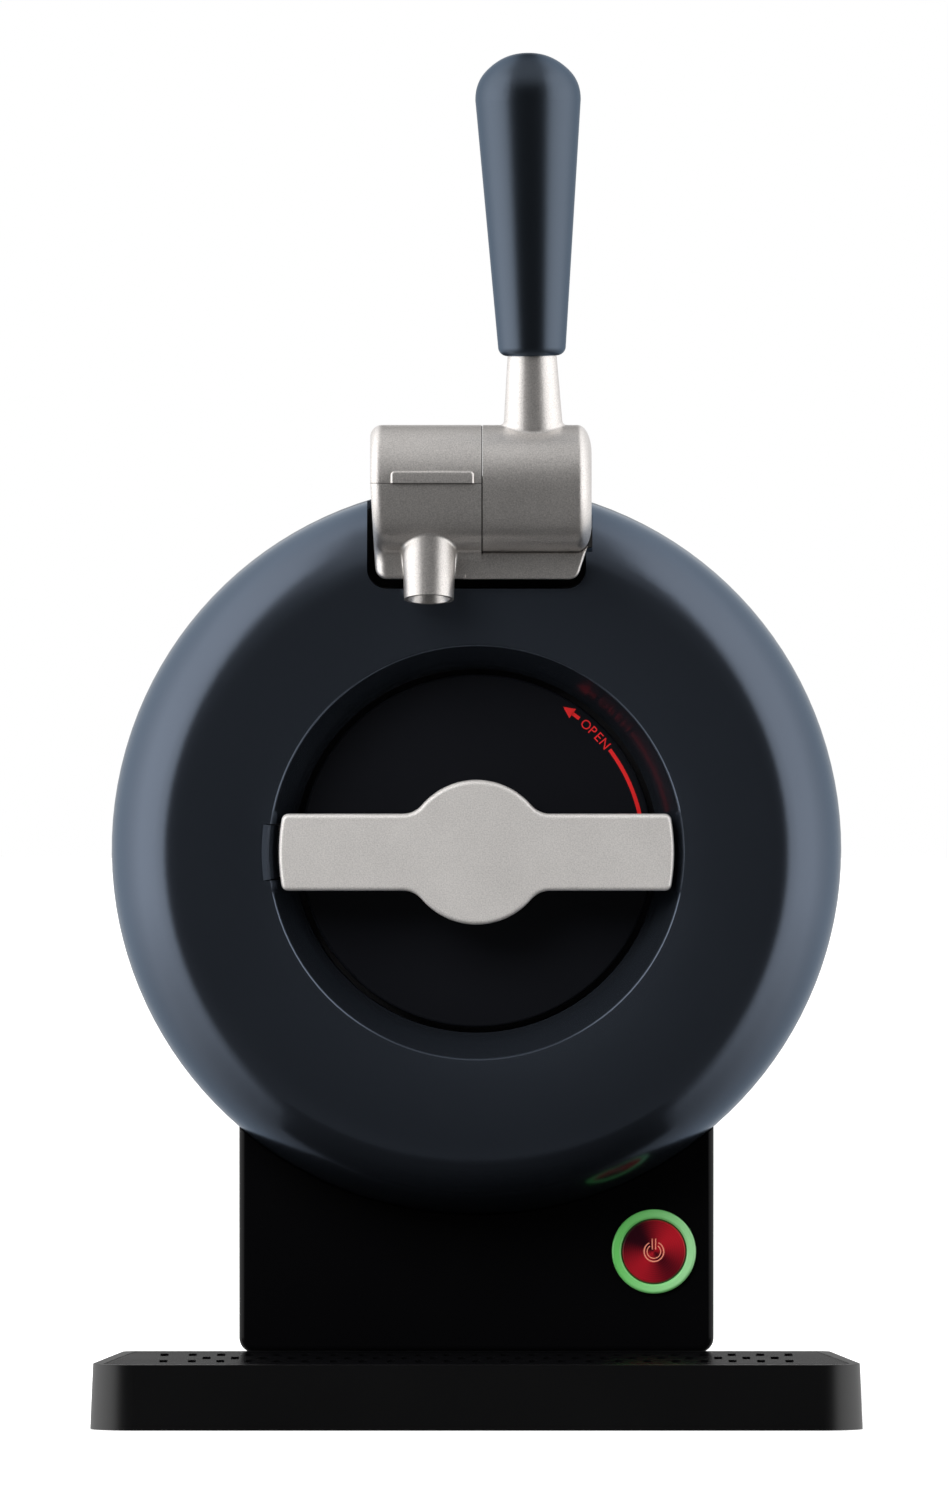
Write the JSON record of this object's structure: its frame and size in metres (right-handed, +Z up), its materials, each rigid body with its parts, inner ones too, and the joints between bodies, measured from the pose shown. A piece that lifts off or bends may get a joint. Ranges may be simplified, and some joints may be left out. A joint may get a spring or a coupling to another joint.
{
  "type": "mini keg beer dispenser",
  "caption": "Countertop beer dispenser: a cooled drum with a round door and lever tap, standing on a pedestal with a drip tray.",
  "frame": {"origin": "on the table, under the middle of the part's outer box", "axes": "+X to the right seen from the front, +Y to the back, +Z up"},
  "size_m": [0.2494, 0.44, 0.4437],
  "materials": {
    "navy_gloss": "dark navy gloss moulding",
    "black_satin": "black satin moulding",
    "black_gloss": "black gloss moulding",
    "satin_nickel": "fine bead-blasted, satin",
    "steel_pin": "ground bright",
    "screw_steel": "dull zinc",
    "white_nylon": "natural moulding",
    "seal_rubber": "matt black",
    "foam": "closed-cell foam",
    "ceramic": "white ceramic",
    "cold_aluminium": "milled",
    "fin_aluminium": "extruded",
    "silicone": "translucent grey",
    "motor_steel": "plated can",
    "board_green": "solder mask",
    "supply_case": "matt black case",
    "cable": "black sheath",
    "glow_green": "light ring, lit green",
    "red_metal": "dark red anodised, gloss",
    "spring_steel": "bright wire",
    "food_liner": "light grey food-safe liner"
  },
  "bodies": {
    "main": {"front_shell": "navy_gloss", "rear_shell": "black_satin", "rear_grille": "black_satin", "tap_well": "black_satin", "front_bulkhead": "black_satin", "door_frame": "black_satin", "frame_screws": "screw_steel", "hinge_pin": "steel_pin", "chamber_liner": "food_liner", "foam_upper": "foam", "foam_lower": "foam", "rear_bulkhead": "black_satin", "cold_block": "cold_aluminium", "cooling_chip": "ceramic", "heat_sink": "fin_aluminium", "cooler_screws": "screw_steel", "fan_frame": "black_satin", "air_nozzle": "white_nylon", "air_hose": "silicone", "pump_head": "white_nylon", "pump_motor": "motor_steel", "pump_cradle": "seal_rubber", "tap_body": "satin_nickel", "tap_screws": "screw_steel", "lid_pin": "steel_pin", "tap_axle": "steel_pin", "pedestal_shell": "black_gloss", "base_foot": "black_satin", "foot_screws": "screw_steel", "rubber_feet": "seal_rubber", "rear_cover": "black_satin", "power_inlet": "black_satin", "power_supply": "supply_case", "control_board": "board_green", "fan_lead": "cable", "button_ring": "glow_green", "button_housing": "black_satin", "button_spring": "spring_steel", "button_switch": "board_green"},
    "door": {"door_disc": "black_gloss", "door_plug": "white_nylon", "door_seal": "seal_rubber", "hinge_arm": "steel_pin"},
    "handle": {"handle_bar": "satin_nickel", "handle_shaft": "steel_pin", "latch_bar": "steel_pin"},
    "lever": {"tap_lever": "satin_nickel", "lever_grip": "navy_gloss"},
    "jaw": {"pinch_jaw": "white_nylon"},
    "lid": {"tap_lid": "satin_nickel"},
    "button": {"button_cap": "red_metal"},
    "tray": {"tray_body": "black_gloss", "tray_pads": "seal_rubber"},
    "grid": {"drip_grid": "black_gloss"},
    "fan": {"fan_rotor": "black_satin"}
  },
  "joints": [
    {"name": "door_hinge", "type": "hinge", "parent": "main", "child": "door", "pos_m": [-0.082, -0.13, 0.1843], "axis": [0, 0, -1], "range_deg": [0, 105]},
    {"name": "handle_turn", "type": "hinge", "parent": "door", "child": "handle", "pos_m": [0, -0.118, 0.1843], "axis": [0, -1, 0], "range_deg": [0, 60]},
    {"name": "lever_pull", "type": "hinge", "parent": "main", "child": "lever", "pos_m": [0, -0.141, 0.3024], "axis": [1, 0, 0], "range_deg": [0, 50]},
    {"name": "jaw_slide", "type": "slide", "parent": "main", "child": "jaw", "axis": [0, 1, 0], "range_m": [0, 0.00761]},
    {"name": "lid_hinge", "type": "hinge", "parent": "main", "child": "lid", "pos_m": [-0.0164, -0.1166, 0.3056], "axis": [-1, 0, 0], "range_deg": [0, 100]},
    {"name": "power_press", "type": "slide", "parent": "main", "child": "button", "axis": [0, 1, 0], "range_m": [0, 0.0015], "stiffness_N_per_m": 400, "deforming": ["button_spring"]},
    {"name": "tray_pull", "type": "slide", "parent": "main", "child": "tray", "axis": [0, -1, 0], "range_m": [0, 0.12]},
    {"name": "grid_lift", "type": "slide", "parent": "tray", "child": "grid", "axis": [0, 0, 1], "range_m": [0, 0.04]},
    {"name": "fan_spin", "type": "hinge", "parent": "main", "child": "fan", "pos_m": [0, 0.195, 0.1843], "axis": [0, 1, 0], "continuous": true}
  ],
  "couplings": [
    {"joint": "jaw_slide", "follows": "lever_pull", "m_per_rad": 0.0087171}
  ]
}
